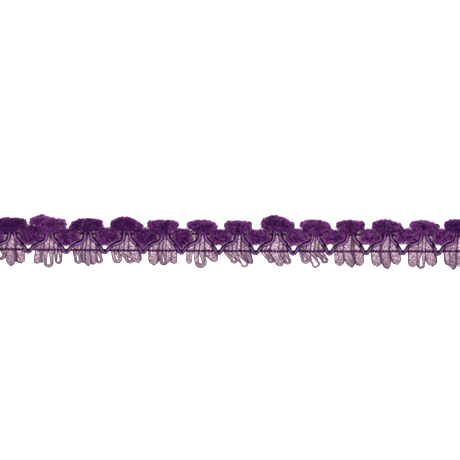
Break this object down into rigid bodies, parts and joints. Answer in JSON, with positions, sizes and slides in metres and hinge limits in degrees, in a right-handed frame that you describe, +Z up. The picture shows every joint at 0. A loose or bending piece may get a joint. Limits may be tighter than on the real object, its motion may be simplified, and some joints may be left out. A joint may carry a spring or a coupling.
{
  "type": "looped dress trim",
  "caption": "Cut length of looped dress trim: chenille yarn in waves, satin cord in a zigzag and sheer ribbon loops, held by two lines of stitching.",
  "frame": {"origin": "middle of the trim's box, on the surface that it lies on", "axes": "+X along the trim, +Y across it towards the chenille edge, +Z up from its face"},
  "size_m": [0.247, 0.0278, 0.0078],
  "materials": {
    "chenille": "soft cut pile",
    "satin_cord": "satin",
    "sheer_tape": "sheer organza",
    "stitching": "matt thread"
  },
  "bodies": {
    "root": {"chenille_yarn": "chenille", "gimp_cord": "satin_cord", "ribbon_tape": "sheer_tape", "lower_stitch_thread": "stitching", "upper_stitch_thread": "stitching"}
  },
  "joints": []
}
